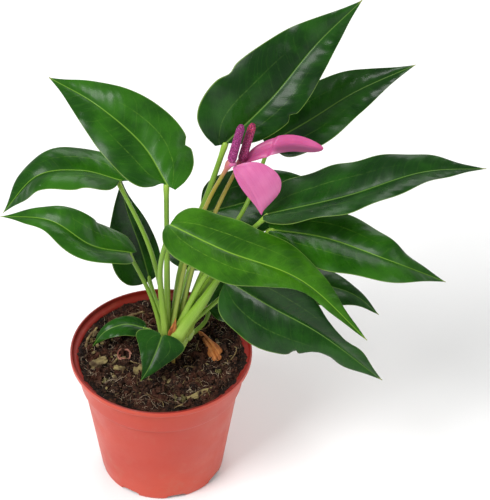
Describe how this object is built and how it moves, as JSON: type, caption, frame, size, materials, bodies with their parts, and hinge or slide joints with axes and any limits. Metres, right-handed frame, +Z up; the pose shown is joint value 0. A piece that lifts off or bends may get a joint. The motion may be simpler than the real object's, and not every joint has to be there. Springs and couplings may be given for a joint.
{
  "type": "potted anthurium",
  "caption": "Young anthurium with arching heart-shaped leaves and pink flowers on slender spadices, growing in peat mix in a round tapered terracotta-coloured plastic nursery pot.",
  "frame": {"origin": "centre of the flat underside of the pot, where it rests on a table", "axes": "+Z up along the pot's axis, -Y towards the viewer, +X to the viewer's right, where the long right-hand leaves reach"},
  "size_m": [0.3093, 0.1545, 0.3412],
  "materials": {
    "pot_plastic": "satin",
    "potting_mix": "matte",
    "leaf_green": "gloss",
    "stem_green": "satin",
    "spathe_pink": "satin",
    "spadix_purple": "matte",
    "dry_sheath": "matte",
    "bark": "matte",
    "root": "matte"
  },
  "bodies": {
    "root": {"aerial_root": "root", "bark_chip_1": "bark", "bark_chip_2": "bark", "bark_chip_3": "bark", "bark_chip_4": "bark", "cataphyll": "dry_sheath", "crown": "stem_green", "fallen_bract": "dry_sheath", "leaf_back_flower": "leaf_green", "leaf_back_low": "leaf_green", "leaf_front_drooping": "leaf_green", "leaf_front_large": "leaf_green", "leaf_left_arching": "leaf_green", "leaf_left_lower": "leaf_green", "leaf_left_upright": "leaf_green", "leaf_low_right": "leaf_green", "leaf_right_hidden": "leaf_green", "leaf_right_long": "leaf_green", "leaf_right_lower": "leaf_green", "leaf_small_front": "leaf_green", "leaf_small_left": "leaf_green", "leaf_top_back": "leaf_green", "leaf_top_centre": "leaf_green", "leaf_upper_left": "leaf_green", "peduncle_back_flower": "stem_green", "peduncle_front_flower": "stem_green", "petiole_back_flower": "stem_green", "petiole_back_low": "stem_green", "petiole_front_drooping": "stem_green", "petiole_front_large": "stem_green", "petiole_left_arching": "stem_green", "petiole_left_lower": "stem_green", "petiole_left_upright": "stem_green", "petiole_low_right": "stem_green", "petiole_right_hidden": "stem_green", "petiole_right_long": "stem_green", "petiole_right_lower": "stem_green", "petiole_small_front": "stem_green", "petiole_small_left": "stem_green", "petiole_top_back": "stem_green", "petiole_top_centre": "stem_green", "petiole_upper_left": "stem_green", "pot": "pot_plastic", "potting_mix": "potting_mix", "spadix_back_flower": "spadix_purple", "spadix_front_flower": "spadix_purple", "spathe_back_flower": "spathe_pink", "spathe_front_flower": "spathe_pink", "surface_root_back": "root", "surface_root_left": "root"}
  },
  "joints": []
}
